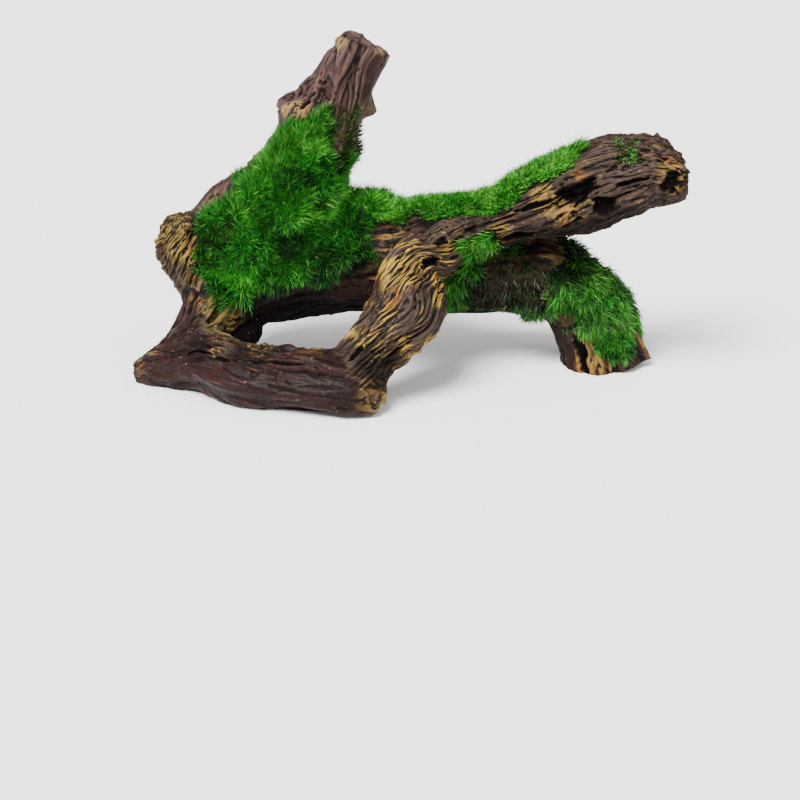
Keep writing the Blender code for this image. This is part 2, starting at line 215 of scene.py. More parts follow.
# A patch is a limb, its start share, its end shares at even steps from the first to the last angle, its
# first angle, and its last angles at the start and the end. span is the part of the patch's length that
# the piece covers, from -1 to 1. blades is the number of fibres and length their longest reach. clump
# gathers the fibres into locks, comb is the way they lie, fade is the share of dull ones, tint how
# yellow-green they are and trim what the patch loses at its first and last angle.
HIGH_PATCH = ("standing_limb", 0.06, (0.64, 0.79, 0.80, 0.80), 20, (180, 190))
MOSS = {
    "moss_mantle_low": dict(
        node="moss_mantle", patch=HIGH_PATCH,
        span=(-1.0, 0.05), blades=58000, comb=(0.2, -0.2, 0.4), length=8.0,
        fade=0.15, clump=0.75, tint=0.40, trim=(0.20, 0.0), seed=3,
    ),
    "moss_mantle_high": dict(
        node="moss_mantle", patch=HIGH_PATCH,
        span=(-0.05, 1.0), blades=52000, comb=(0.3, -0.1, 0.8), length=7.0,
        fade=0.2, clump=0.7, tint=0.42, trim=(0.06, 0.0), seed=5,
    ),
    "moss_mantle_arch": dict(
        node="moss_mantle", patch=("arch_limb", 0.16, (0.53, 0.53), -70, (120, 80)),
        span=(-1.0, 1.0), blades=64000, comb=(0.1, -0.4, -0.1), length=7.5,
        fade=0.3, clump=0.8, tint=0.28, trim=(0.0, 0.16), seed=7,
    ),
    "moss_mantle_branch": dict(
        node="moss_mantle", patch=("long_branch", 0.0, (0.70, 0.70), -75, (50, 40)),
        span=(-1.0, 1.0), blades=54000, comb=(0.2, -0.1, 0.6), length=5.5,
        fade=0.0, clump=0.35, tint=0.64, trim=(0.0, 0.0), seed=9,
    ),
    "moss_leg": dict(
        node="moss_leg", patch=("arch_limb", 0.56, (0.95, 0.93), -5, (140, 140)),
        span=(-1.0, 1.0), blades=46000, comb=(0.3, -0.3, -1.0), length=8.5,
        fade=0.5, clump=0.8, tint=0.48, trim=(0.0, 0.0), seed=13,
    ),
    "moss_toe": dict(
        node="moss_leg", patch=("arch_limb", 0.90, (0.97, 0.97), 40, (92, 85)),
        span=(-1.0, 1.0), blades=4500, comb=(0.0, -0.2, -1.0), length=6.5,
        fade=0.3, clump=0.8, tint=0.48, trim=(0.0, 0.0), seed=15,
    ),
    "moss_nook": dict(
        node="moss_leg", patch=("long_branch", 0.15, (0.36, 0.34), 95, (155, 155)),
        span=(-1.0, 1.0), blades=4500, comb=(-0.9, -0.5, -0.1), length=7.5,
        fade=0.1, clump=0.6, tint=0.6, trim=(0.0, 0.0), seed=19,
    ),
    "moss_tuft": dict(
        node="moss_tuft", patch=("long_branch", 0.80, (0.88, 0.88), 0, (50, 50)),
        span=(-0.6, 0.8), blades=200, comb=(0.9, -0.2, -0.3), length=4.0,
        fade=0.8, clump=0.9, tint=0.7, trim=(0.0, 0.2), seed=17,
    ),
}


def metres(points):
    """Places in the part's frame: those in the knots' frame less the footprint's middle, in metres."""
    return (points - MIDDLE) * MM


def unit(rows):
    """Each row divided by its length."""
    return rows / np.linalg.norm(rows, axis=1, keepdims=True)


def turned(angle, degrees):
    """The angle measured from one given in degrees, wrapped to between minus and plus half a turn."""
    return (angle - math.radians(degrees) + math.pi) % (2 * math.pi) - math.pi


def smooth(low, high, value):
    """0 below low, 1 above high, and an S-shaped ramp between."""
    t = np.clip((value - low) / (high - low), 0, 1)
    return t * t * (3 - 2 * t)


def mixed_bits(x, y, z, seed):
    """A scrambled whole number for each lattice point, from its three indices and the seed."""
    h = x * np.uint32(374761393) + y * np.uint32(668265263) + z * np.uint32(2246822519)
    h = h + np.uint32(seed * 7919)
    h = (h ^ (h >> np.uint32(13))) * np.uint32(1274126177)
    return h ^ (h >> np.uint32(16))


def noise(points, seed):
    """Gradient noise, about -1 to 1: slopes hashed at the lattice corners, blended by a quintic ramp."""
    base = np.floor(points).astype(np.int32)
    part = (points - base).astype(np.float32)
    ramp = part * part * part * (part * (part * 6 - 15) + 10)
    total = np.zeros(len(points), np.float32)
    for corner in range(8):
        step = np.array([corner & 1, corner >> 1 & 1, corner >> 2 & 1])
        cell = (base + step).astype(np.uint32)
        bits = mixed_bits(cell[:, 0], cell[:, 1], cell[:, 2], seed)
        offset = part - step.astype(np.float32)
        slope = sum(
            ((bits >> np.uint32(shift) & np.uint32(1023)).astype(np.float32) / 511.5 - 1) * offset[:, k]
            for k, shift in enumerate((0, 10, 20))
        )
        weight = np.prod(np.where(step, ramp, 1 - ramp), axis=1)
        total += weight * slope
    return total * 1.5


def spline(knots):
    """A smooth curve through the knots (Catmull-Rom), as rows of x, y, z, radius, twelve to a span."""
    points = np.asarray(knots, float)
    ends = np.vstack([2 * points[0] - points[1], points, 2 * points[-1] - points[-2]])
    t = np.linspace(0, 1, 12, endpoint=False)[:, None]
    rows = []
    for a, b, c, d in zip(ends[:-3], ends[1:-2], ends[2:-1], ends[3:]):
        bend = (2 * a - 5 * b + 4 * c - d) * t**2 + (3 * b - 3 * c + d - a) * t**3
        rows.append(0.5 * (2 * b + (c - a) * t + bend))
    return np.vstack(rows + [points[-1:]])


def trace(limb):
    """The limb's middle line as samples: distance along, centre and radius, and slope."""
    rows = spline(limb["knots"])
    along = np.concatenate([[0.0], np.cumsum(np.linalg.norm(np.diff(rows[:, :3], axis=0), axis=1))])
    slope = np.gradient(rows[:, :3], along, axis=0)
    return dict(along=along, rows=rows, slope=slope, length=along[-1])


LINES = {name: trace(limb) for name, limb in LIMBS.items()}


def path_at(name, share):
    """Centre, radius, tangent and distance along at each share of the limb's length."""
    line = LINES[name]
    along = share * line["length"]
    centre = np.stack([np.interp(along, line["along"], line["rows"][:, k]) for k in range(3)], -1)
    radius = np.interp(along, line["along"], line["rows"][:, 3])
    tangent = np.stack([np.interp(along, line["along"], line["slope"][:, k]) for k in range(3)], -1)
    return centre, radius, tangent / np.linalg.norm(tangent, axis=-1, keepdims=True), along


def cross_frame(tangent):
    """The directions of angle 0 and of the back, square to the tangent."""
    back = unit(np.array([0.0, 1.0, 0.0]) - tangent * tangent[:, 1:2])
    return np.cross(tangent, back), back


def stout(name, share, angle, centre, outward, radius, along):
    """Radius of the limb with its flutes, swellings and burrs, as the solids have them."""
    flutes = sum(part * np.sin(n * angle + drift * along + phase) for n, drift, phase, part in FLUTES)
    base = centre + outward * radius[:, None]
    lumps = sum(np.sin(base @ np.array(rate) + phase) for rate, phase in LUMP_WAVES) / len(LUMP_WAVES)
    total = radius + FLUTE_DEPTH * flutes * np.clip(radius / 12.0, 0.4, 1.0) + LUMP_HEIGHT * lumps
    for place, turn, reach_along, reach_around, height in LIMBS[name]["burrs"]:
        off = turned(angle, turn) * radius / reach_around
        away = ((share - place) * LINES[name]["length"] / reach_along) ** 2 + off**2
        total = total + height * np.exp(-away)
    return total


def tip_height(name, share):
    """How far the limb's dome reaches past the end that each share is nearer to, never less than 0.8."""
    start_tip, end_tip = LIMBS[name]["tips"]
    return np.where(share < 0.5, max(start_tip, 0.8), max(end_tip, 0.8))


def meet(name, points, share):
    """The limb as seen from points: how far they are outside it, the way out, and where on it they are.

    The nearest share is refined by two steps along the middle line. Past an end the limb closes as half an
    ellipsoid, as high as its tip.
    """
    length = LINES[name]["length"]
    for _ in range(2):
        centre, _, tangent, _ = path_at(name, share)
        share = np.clip(share + ((points - centre) * tangent).sum(1) / length, 0, 1)
    centre, radius, tangent, along = path_at(name, share)
    offset = points - centre
    axial = (offset * tangent).sum(1)
    flat = offset - tangent * axial[:, None]
    beyond = np.where((share <= 0) | (share >= 1), axial, 0.0)
    rho = np.linalg.norm(flat, axis=1) + 1e-6
    outward = flat / rho[:, None]
    above, back = cross_frame(tangent)
    angle = np.arctan2(-(outward * back).sum(1), (outward * above).sum(1))
    size = stout(name, share, angle, centre, outward, radius, along)
    tip = tip_height(name, share)
    level = (np.hypot(rho / size, beyond / tip) - 1) * size
    way = unit(flat / size[:, None] ** 2 + tangent * (beyond / tip**2)[:, None])
    return dict(level=level, way=way, share=share, angle=angle, along=along + beyond, rho=rho)


def first_share(name, points):
    """The share of the nearest of every third sample of the limb's middle line, and how far outside it."""
    line = LINES[name]
    rows = line["rows"][::3].astype(np.float32)
    best = np.full(len(points), 1e9, np.float32)
    share = np.zeros(len(points))
    near = points.astype(np.float32)
    for row, along in zip(rows, line["along"][::3]):
        away = np.linalg.norm(near - row[:3], axis=1) - row[3]
        closer = away < best
        best[closer] = away[closer]
        share[closer] = along / line["length"]
    return share, best


def skin(name, share, angle, tilt=None):
    """Points of the carved wood's surface on rays from a limb's middle line.

    The limbs are joined by a soft minimum of their levels, which rounds each fork. Each ray goes out until
    that level is 0, and past the seam with a thicker neighbour it stops a little below it. tilt turns the
    ray from square to the middle line towards its end, for the domes.
    """
    centre, radius, tangent, along = path_at(name, share)
    above, back = cross_frame(tangent)
    outward = above * np.cos(angle)[:, None] - back * np.sin(angle)[:, None]
    size = stout(name, share, angle, centre, outward, radius, along)
    ray, reach = outward, size
    if tilt is not None:
        ray = outward * np.cos(tilt)[:, None] + tangent * np.sin(tilt)[:, None]
        reach = 1 / np.hypot(np.cos(tilt) / size, np.sin(tilt) / tip_height(name, share))
    points = centre + ray * reach[:, None]
    own = meet(name, points, share)
    near = {}
    for other in LIMBS:
        if other != name:
            guess, away = first_share(other, points)
            pick = np.flatnonzero(away < 2 * FORK_REACH)
            if len(pick):
                near[other] = [pick, guess[pick]]
    way, margin = own["way"].copy(), np.full(len(points), FAR)
    weights, seen = {name: np.ones(len(points))}, {}
    if near:
        extra = np.zeros(len(points))
        for turn in range(6):
            here = points + ray * extra[:, None]
            own = meet(name, here, share)
            low = np.exp(-np.clip(own["level"], -40, 40) / FORK_FILLET)
            total, way = low.copy(), own["way"] * low[:, None]
            margin = np.full(len(points), FAR)
            weights = {name: low}
            for other, (pick, guess) in near.items():
                seen[other] = meet(other, here[pick], guess)
                near[other][1] = seen[other]["share"]
                pull = np.exp(-np.clip(seen[other]["level"], -40, 40) / FORK_FILLET)
                total[pick] += pull
                way[pick] += seen[other]["way"] * pull[:, None]
                margin[pick] = np.minimum(margin[pick], seen[other]["level"] - own["level"][pick])
                weights[other] = pull
            level = -FORK_FILLET * np.log(total)
            way /= np.linalg.norm(way, axis=1, keepdims=True) + 1e-9
            if turn < 5:
                facing = np.maximum((way * ray).sum(1), 0.4)
                extra = np.clip(extra - np.clip(level / facing, -3, 3), 0, FORK_REACH)
        points = here
        for limb in weights:
            weights[limb] = weights[limb] / (total if limb == name else total[near[limb][0]])
    height, crest, hollow = np.zeros((3, len(points)))
    rough = near_spots(points, ROUGH)
    for limb, weight in weights.items():
        pick = np.arange(len(points)) if limb == name else near[limb][0]
        view = own if limb == name else seen[limb]
        keep = np.flatnonzero(weight > 0.02)
        spot = [view[key][keep] for key in ("share", "along", "angle", "rho")]
        for field, values in zip((height, crest, hollow), bark(limb, *spot, rough[pick[keep]])):
            field[pick[keep]] += weight[keep] * values
    sink = FORK_SINK * smooth(0.0, SEAM_WIDTH, -margin)
    points = points + way * (height - sink)[:, None]
    return dict(
        points=points, way=way, margin=margin, angle=own["angle"], height=height, crest=crest, hollow=hollow,
        reach=np.linalg.norm(points - centre, axis=1) + sink,
    )


def near_spots(points, spots):
    """The strongest of the spots at each point: full inside half the radius, none past the radius."""
    found = np.zeros(len(points))
    for x, y, z, radius, strength in spots:
        away = np.linalg.norm(points - np.array([x, y, z]), axis=1)
        found = np.maximum(found, strength * smooth(radius, radius / 2, away))
    return found


def bark(name, share, along, angle, rho, rough):
    """Height of the carved bark, and how much each point is a thin raised line or in a hole.

    The limb is straightened: x runs along it, y and z across it, turned by the twist. Strands are the
    distance from the zero crossings of noise drawn out along the limb, so their grooves are sharp and
    their tops round. Threads are thin raised lines at the crossings of another noise. Plates of bark end
    in a ledge where a slower noise passes a level, and pits sink where a fine one is highest. Broad steps
    are a slow noise cut into levels with steep sides. Folds near the end are a rectified sine of the angle.
    Ribs are the crests of a sine around the limb, bent and broken up by noise. A slow noise makes the bark
    ropy in some places and plain in others. Holes are ragged ellipses with steep walls and a raised rim.
    Where the bark is rough, a finer noise is cut into levels, with a raised line on each edge.
    """
    style = LIMBS[name]
    seed = style["seed"]
    turn = angle + style["twist"] * along
    straight = np.stack([along, rho * np.cos(turn), rho * np.sin(turn)], 1)
    slow = straight / np.array([26.0, 11.0, 11.0])
    sway = style["sway"] * np.stack([noise(slow, seed + k) for k in range(3)], 1)
    lanes = (straight + sway * np.array([4.0, 2.0, 2.0])) / style["spacing"]
    lanes = lanes / np.array([style["stretch"], 1.0, 1.0])
    strand = smooth(0.0, 0.36, np.abs(noise(lanes, seed + 3)))
    fine = smooth(0.0, 0.45, np.abs(noise(lanes * np.array([1.5, 2.4, 2.4]), seed + 4)))
    thread = 1 - smooth(0.02, 0.15, np.abs(noise(lanes * np.array([0.8, 1.1, 1.1]) + 7.3, seed + 5)))
    plate = smooth(-0.03, 0.07, noise(straight / np.array([22.0, 6.5, 6.5]) + 0.25 * sway, seed + 6))
    chip = smooth(-0.04, 0.10, noise(straight / np.array([8.0, 3.2, 3.2]), seed + 7))
    crumb = noise(straight / np.array([2.2, 1.3, 1.3]), seed + 8)
    pit = smooth(0.40, 0.62, noise(straight / np.array([6.0, 3.0, 3.0]), seed + 9))
    broad = 2.2 * noise(straight / np.array([30.0, 10.0, 10.0]) + 0.2 * sway, seed + 10)
    step = np.floor(broad) + smooth(0.32, 0.62, broad - np.floor(broad))
    ropy = smooth(-0.30, 0.20, noise(straight / np.array([28.0, 11.0, 11.0]) + 3.1, seed + 11))
    bend = 2.2 * noise(straight / np.array([18.0, 8.0, 8.0]), seed + 12)
    wave = 0.5 + 0.5 * np.sin(style["ribs"] * turn + bend)
    broken = smooth(-0.22, 0.06, noise(straight / np.array([8.0, 2.2, 2.2]), seed + 13))
    rib = smooth(0.70, 1.0, wave) * broken * (0.35 + 0.65 * ropy)
    calm_angle, calm_share = style["calm"]
    calm = calm_share * smooth(0.0, 0.9, np.cos(angle - math.radians(calm_angle)))
    folds = np.abs(np.sin(4.5 * angle + 0.4)) ** 0.7 * smooth(0.84, 0.97, share)
    strand = (0.35 + 0.65 * ropy) * strand
    height = style["depth"] * (1 - calm) * (0.6 * strand + 0.15 * fine + 0.15 * crumb + 0.35 * rib - 0.55)
    folds -= 0.5 * smooth(0.84, 0.97, share)
    height += style["thread"] * thread * (1 - calm) + style["toes"] * folds
    height += style["slab"] * np.clip(0.6 * step, -1.0, 0.7)
    height += (1 - 0.8 * calm) * style["ledge"] * (0.7 * plate + 0.3 * chip - 0.6 - 0.9 * pit)
    crest = np.maximum(0.8 * thread * ropy, rib) * (1 - 0.9 * calm)
    level = 2.6 * noise(straight / np.array([7.0, 4.0, 4.0]) + 0.3 * sway, seed + 14) + 0.5 * crumb
    rise = level - np.floor(level)
    height += rough * np.clip(0.9 * (np.floor(level) + smooth(0.6, 0.8, rise)), -1.8, 1.2)
    crest = np.maximum(crest * (1 - 0.5 * rough), rough * smooth(0.70, 0.80, rise) * smooth(1.0, 0.92, rise))
    hollow = np.zeros(len(share))
    for place, around, reach_along, reach_around, depth in style["holes"]:
        off = turned(angle, around)
        away = np.hypot((share - place) * LINES[name]["length"] / reach_along, off * rho / reach_around)
        away = away + 0.22 * crumb + 0.30 * (chip - 0.5) + 0.25 * (strand - 0.5)
        rim = np.exp(-((away - 1.15) / 0.2) ** 2) * broken
        height += 0.5 * rim - depth * smooth(1.1, 0.6, away)
        crest = np.clip(crest * smooth(0.7, 1.1, away) + 0.6 * rim, 0, 1)
        hollow = np.maximum(hollow, smooth(1.05, 0.8, away))
    return height, crest, hollow


def blurred(field, reach_rows, reach_columns):
    """The field averaged over a window, twice. The columns wrap around and the end rows repeat."""
    for _ in range(2):
        field = sum(np.roll(field, k, 1) for k in range(-reach_columns, reach_columns + 1))
        field = field / (2 * reach_columns + 1)
        padded = np.pad(field, ((reach_rows, reach_rows), (0, 0)), mode="edge")
        field = sum(padded[k:k + len(field)] for k in range(2 * reach_rows + 1)) / (2 * reach_rows + 1)
    return field


def relief_of(height, reach, dome):
    """How far each grid point stands above (towards 1) or below (towards 0) its surroundings, 0.5 if level.

    The narrow part compares the bark's height with its average within about 1 mm, and the broad part the
    whole radius within about 3 mm. On the domes the broad part repeats that of the limb's last ring.
    """
    near, far = max(1, round(2 * FINE)), max(2, round(6 * FINE))
    narrow = (height - blurred(height, near, near)) / 0.22
    body = reach[dome:-dome]
    broad = np.pad((body - blurred(body, far, far)) / 0.9, ((dome, dome), (0, 0)), mode="edge")
    return 0.5 + 0.5 * np.clip(0.75 * narrow + 0.45 * broad, -1, 1)


def mesh_object(name, points, quads, triangles, attributes, shader):
    """A smooth-shaded mesh from whole arrays of points, four-cornered and three-cornered faces."""
    mesh = bpy.data.meshes.new(name)
    mesh.vertices.add(len(points))
    mesh.vertices.foreach_set("co", metres(points).astype(np.float32).ravel())
    corners = np.concatenate([quads.ravel(), triangles.ravel()]).astype(np.int32)
    starts = np.concatenate([np.arange(len(quads)) * 4, len(quads) * 4 + np.arange(len(triangles)) * 3])
    mesh.loops.add(len(corners))
    mesh.loops.foreach_set("vertex_index", corners)
    mesh.polygons.add(len(starts))
    mesh.polygons.foreach_set("loop_start", starts.astype(np.int32))
    mesh.polygons.foreach_set("use_smooth", np.ones(len(starts), bool))
    mesh.update(calc_edges=True)
    for key, values in attributes.items():
        mesh.attributes.new(key, "FLOAT", "POINT").data.foreach_set("value", values.astype(np.float32))
    mesh.materials.append(shader)
    obj = bpy.data.objects.new(name, mesh)
    bpy.context.scene.collection.objects.link(obj)
    return obj


def patch_end(ends, v):
    """The share where a patch ends, between its end shares at even steps of v from -1 to 1."""
    return np.interp(v, np.linspace(-1, 1, len(ends)), ends)


def moss_bed(points):
    """How mossy the wood is under each point: 1 well inside a moss pad, 0 outside."""
    bed = np.zeros(len(points))
    for facts in MOSS.values():
        if facts["node"] == "moss_tuft":
            continue
        limb, start, ends, angle_from, angles_to = facts["patch"]
        guess, away = first_share(limb, points)
        pick = np.flatnonzero(away < 8)
        if len(pick) == 0:
            continue
        seen = meet(limb, points[pick], guess[pick])
        u = (seen["share"] - start) / (np.mean(ends) - start) * 2 - 1
        angle_to = np.interp(u, (-1, 1), angles_to)
        off = np.degrees(seen["angle"]) - (angle_from + angle_to) / 2
        v = ((off + 180) % 360 - 180) / ((angle_to - angle_from) / 2)
        u = (seen["share"] - start) / (patch_end(ends, v) - start) * 2 - 1
        inside = smooth(1.02, 0.86, np.maximum(np.abs(u), np.abs(v))) * smooth(4, 2, seen["level"])
        bed[pick] = np.maximum(bed[pick], inside)
    return bed


def paint_fields(name, share, relief, found):
    """Where the paint goes on a limb, from 0 to 1 at each point.

    Gold lies on crests and high relief, by the limb's share of it, a slow noise and the gilded spots. The
    painted shade is black painted where shade falls, the strongest of the underside, the shaded spots and
    the holes. The bed is the wood under moss, and the film that under thin moss and in the filmed spots.
    """
    points = found["points"]
    gilt = near_spots(points, GILDED)
    rich = np.clip(LIMBS[name]["gold"] * (0.5 + 1.1 * noise(points / 9.0, 91)) + 0.8 * gilt, 0, 1)
    high = found["crest"] + 0.4 * smooth(0.80, 1.0, relief)
    gold = np.clip(rich * high + 0.25 * gilt * relief, 0, 1)
    mossy, thin = moss_bed(points), near_spots(points, THIN_MOSS)
    film = mossy * smooth(0.6, 0.95, thin) * smooth(1.35, 1.15, thin)
    # Painted shade on the underside of the arch and the branch, less towards the limb's far end.
    under = smooth(0.1, 0.8, -np.cos(found["angle"] + 0.15)) * UNDERSIDE_SHADE.get(name, 0)
    under *= 1 - 0.6 * smooth(0.78, 0.90, share)
    # Painted shade: black where shade falls, on the undersides, in the shaded spots and in the holes.
    grime = np.clip(np.maximum(under, near_spots(points, SHADED_SPOTS)) + found["hollow"], 0, 1)
    film = np.maximum(film * (1 - 0.85 * grime), near_spots(points, FILMED) * (1 - 0.5 * grime))
    return dict(
        relief=relief, gold=gold * (1 - 0.75 * grime), bed=mossy * smooth(0.95, 0.6, thin), grime=grime,
        gilt=gilt * (1 - grime), film=film,
    )


def limb_skin(name, shader):
    """The limb as one closed surface: a grid of rays around its middle line, with a dome on each end.

    Each row of the grid is a share of the limb's length, or a tilt on the domes, and each column an angle.
    The end rows are drawn together in one pole each.
    """
    rows, columns = (round(LIMBS[name][key] * FINE) for key in ("rows", "columns"))
    dome = max(4, round(DOME_ROWS * FINE))
    share = np.concatenate([np.zeros(dome), np.linspace(0, 1, rows), np.ones(dome)])
    lean = np.radians(np.linspace(90, 0, dome, endpoint=False))
    tilt = np.concatenate([-lean, np.zeros(rows), lean[::-1]])
    angle = np.linspace(0, 2 * math.pi, columns, endpoint=False)
    full = [np.repeat(share, columns), np.tile(angle, len(share)), np.repeat(tilt, columns)]
    found = skin(name, *full)
    points = found["points"]
    grid = (len(share), columns)
    relief = relief_of(found["height"].reshape(grid), found["reach"].reshape(grid), dome).ravel()
    fields = paint_fields(name, full[0], relief, found)
    points[:, 2] = np.maximum(points[:, 2], 0.0)
    count = len(share)
    ring = np.arange(columns)
    after = (ring + 1) % columns
    row = (np.arange(count - 3) * columns)[:, None]
    above = row + columns
    quads = np.stack([row + ring, row + after, above + after, above + ring], -1).reshape(-1, 4)
    last = (count - 3) * columns
    poles = np.stack([points[:columns].mean(0), points[-columns:].mean(0)])
    points = np.vstack([points[columns:-columns], poles])
    first_pole, last_pole = len(points) - 2, len(points) - 1
    triangles = np.vstack([
        np.stack([np.full(columns, first_pole), after, ring], 1),
        np.stack([np.full(columns, last_pole), last + ring, last + after], 1),
    ])
    attributes = {}
    for key, values in fields.items():
        ends = [values[:columns].mean()], [values[-columns:].mean()]
        attributes[key] = np.concatenate([values[columns:-columns], *ends])
    obj = mesh_object(name + "_bark", points, quads, triangles, attributes, shader)
    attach(obj, "root")
    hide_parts(name)
    return obj


def moss_roots(facts, chance):
    """Where the fibres of a patch stand: the place across the patch, the root, the way out and the thinness.

    u runs from -1 to 1 along the patch and v around it. Random places are kept by the limb's girth, inside
    a ragged edge, off the seams with other limbs and off the ground, and fewer where the moss is thin.
    """
    limb, start, ends, angle_from, angles_to = facts["patch"]
    count = round(facts["blades"] * FINE)
    u, v = chance.uniform(*facts["span"], count * 2), chance.uniform(-1, 1, count * 2)
    end, angle_to = patch_end(ends, v), np.interp(u, (-1, 1), angles_to)
    wave = 1 + 0.10 * np.sin(5.0 * u + 1.3) + 0.06 * np.sin(11.0 * u)
    share = np.clip((start + end) / 2 + (end - start) / 2 * u * (1 + 0.05 * np.sin(4 * v + 0.7)), 0, 1)
    angle = np.radians((angle_from + angle_to) / 2 + (angle_to - angle_from) / 2 * v * wave)
    radius = path_at(limb, share)[1]
    ragged = chance.uniform(0.88, 1.02, len(u)) + 0.06 * np.sin(9 * v + 4 * u)
    ragged += 0.12 * noise(np.stack([3 * u, 3 * v, 0 * u], 1), facts["seed"] + 60)
    ragged -= facts["trim"][0] * smooth(-0.5, -0.9, v) + facts["trim"][1] * smooth(0.5, 0.9, v)
    stout_enough = chance.uniform(0, 1, len(u)) * radius.max() < radius
    keep = np.flatnonzero(stout_enough & (np.maximum(np.abs(u), np.abs(v)) < ragged))[:count]
    u, v, share, angle = u[keep], v[keep], share[keep], angle[keep]
    found = skin(limb, share, angle)
    roots, way, margin = found["points"], found["way"], found["margin"]
    thin = near_spots(roots, THIN_MOSS)
    fair = (margin > -1.5) & (roots[:, 2] > 1.0) & (chance.uniform(0, 1, len(u)) > 0.92 * thin)
    return u[fair], v[fair], roots[fair], way[fair], thin[fair]


def moss_fibres(name, facts, shader):
    """One moss patch: thousands of short bent ribbons that stand on the wood and gather into locks.

    A noise on the surface makes hills and hollows. Fibres are long on the hills and lean uphill, by the
    noise's slope, so their tips close into locks with dark gaps between. Each ribbon has a foot of two
    points, a knee of two and one tip: it starts off steep and bends towards its lean. Painted shade darkens
    each fibre towards its root, and the fibres in the hollows.
    """
    limb, seed = facts["patch"][0], facts["seed"]
    chance = np.random.default_rng(seed)
    u, v, roots, way, thin = moss_roots(facts, chance)
    count = len(roots)
    lock, step = 1 / LOCK_SIZE, 0.6
    hill = noise(roots * lock, seed)
    rises = [noise((roots + step * axis) * lock, seed) - hill for axis in np.eye(3)]
    uphill = np.stack(rises, 1) / (step * lock)
    drift = np.stack([noise(roots / 13.0, seed + k) for k in (40, 41, 42)], 1)
    spread = unit(roots - roots.mean(0))
    rim = (np.maximum(np.abs(u), np.abs(v)) ** 3)[:, None]
    lean = facts["clump"] * (0.45 * uphill + 0.9 * drift) + np.array(facts["comb"]) + 0.7 * rim * spread
    lean += chance.normal(0, 0.5, (count, 3))
    lean -= way * (lean * way).sum(1, keepdims=True)
    steep = unit(way * 0.9 + lean * 0.55)
    bent = unit(way * 0.45 + lean * 0.95)
    profile = ((1 - u**6) * (1 - v**6)) ** 0.5
    crown = 1 - facts["clump"] * smooth(0.35, -0.45, hill)
    fringe = 1 - 0.55 * smooth(0.7, 1.0, v) * (limb == "arch_limb")
    tall = facts["length"] * (0.62 + 0.38 * profile) * (0.60 + 0.50 * crown) * (1 - 0.45 * thin) * fringe
    tall *= 1 + near_spots(roots, TALL_MOSS)
    tall = np.clip(tall * chance.uniform(0.6, 1.2, count), 1.2, None)[:, None]
    width = chance.uniform(0.28, 0.52, count)[:, None]
    across = unit(np.cross(steep, chance.normal(0, 1, (count, 3))))
    foot = roots - way * FIBRE_SINK
    knee = foot + steep * tall * 0.5
    tip = knee + bent * tall * 0.5
    ribbon = np.stack([foot - across * width / 2, foot + across * width / 2,
                       knee - across * width * 0.42, knee + across * width * 0.42, tip], 1)
    first = np.arange(count)[:, None] * 5
    quads = first + np.array([0, 1, 3, 2])
    triangles = first + np.array([2, 3, 4])
    # deep darkens the fibres as painted shade, and lift lightens them as painted light.
    deep, lift = near_spots(roots, SHADED_MOSS), near_spots(roots, LIT_MOSS)
    # Painted shade: fibres in the hollows between locks are darker.
    bright = (0.30 + 0.70 * crown) * (1 - 0.75 * deep) * (1 + 0.5 * lift)
    bright = np.clip(bright * chance.uniform(0.3, 1.35, count), 0, 1)
    painted_light = np.array([0.0, 0.0, 0.55, 0.55, 1.0]) * bright[:, None]
    tint = chance.normal(facts["tint"], 0.28, count) + 0.3 * drift[:, 0] + 0.3 * lift
    tint = np.repeat(np.clip(tint, 0, 1), 5)
    dull = facts["fade"] * (1 - lift) * smooth(-0.3, 0.3, drift[:, 1] + chance.normal(0, 0.15, count))
    shade = np.repeat(np.clip(np.maximum(thin, dull) * chance.uniform(0.6, 1.1, count), 0, 1), 5)
    obj = mesh_object(name + "_fibres", ribbon.reshape(-1, 3), quads, triangles,
                      dict(painted_light=painted_light.ravel(), tint=tint, shade=shade), shader)
    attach(obj, "root")
    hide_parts(facts["node"])
    return obj


class Nodes:
    """Short calls that add and link shader nodes in one tree."""

    def __init__(self, tree):
        """Keep the tree that the calls build in."""
        self.tree = tree

    def add(self, kind, settings=None, **inputs):
        """A new node with its settings, and values or links on the inputs of these names."""
        node = self.tree.nodes.new(kind)
        for key, value in (settings or {}).items():
            setattr(node, key, value)
        for key, value in inputs.items():
            self.put(node, key.replace("_", " "), value)
        return node

    def put(self, node, key, value):
        """Set the input of this name or number, by a link if the value is a socket."""
        socket = node.inputs[int(key)] if key.isdigit() else node.inputs[key]
        if isinstance(value, bpy.types.NodeSocket):
            self.tree.links.new(value, socket)
        else:
            socket.default_value = value

    def math(self, operation, a, b=0.0, clamp=False):
        """The operation's result on a and b."""
        node = self.tree.nodes.new("ShaderNodeMath")
        node.operation, node.use_clamp = operation, clamp
        self.put(node, "0", a)
        self.put(node, "1", b)
        return node.outputs[0]

    def ramp(self, value, low, high):
        """0 at low and 1 at high, smooth between."""
        node = self.tree.nodes.new("ShaderNodeMapRange")
        node.interpolation_type = "SMOOTHSTEP"
        self.put(node, "Value", value)
        self.put(node, "From Min", low)
        self.put(node, "From Max", high)
        return node.outputs["Result"]

    def mix(self, factor, a, b, blend="MIX"):
        """Colour a turned into colour b by the factor."""
        node = self.tree.nodes.new("ShaderNodeMix")
        node.data_type, node.blend_type = "RGBA", blend
        self.put(node, "0", factor)
        self.put(node, "6", a if isinstance(a, bpy.types.NodeSocket) else (*a, 1.0))
        self.put(node, "7", b if isinstance(b, bpy.types.NodeSocket) else (*b, 1.0))
        return node.outputs[2]

    def noise(self, place, scale, detail=3.0, roughness=0.55):
        """Noise of about 0.3 to 0.7, with this many waves a metre."""
        node = self.add("ShaderNodeTexNoise", Vector=place, Scale=scale, Detail=detail, Roughness=roughness)
        return node.outputs["Fac"]

    def attribute(self, name):
        """The mesh's own values under this name."""
        return self.add("ShaderNodeAttribute", dict(attribute_name=name)).outputs["Fac"]


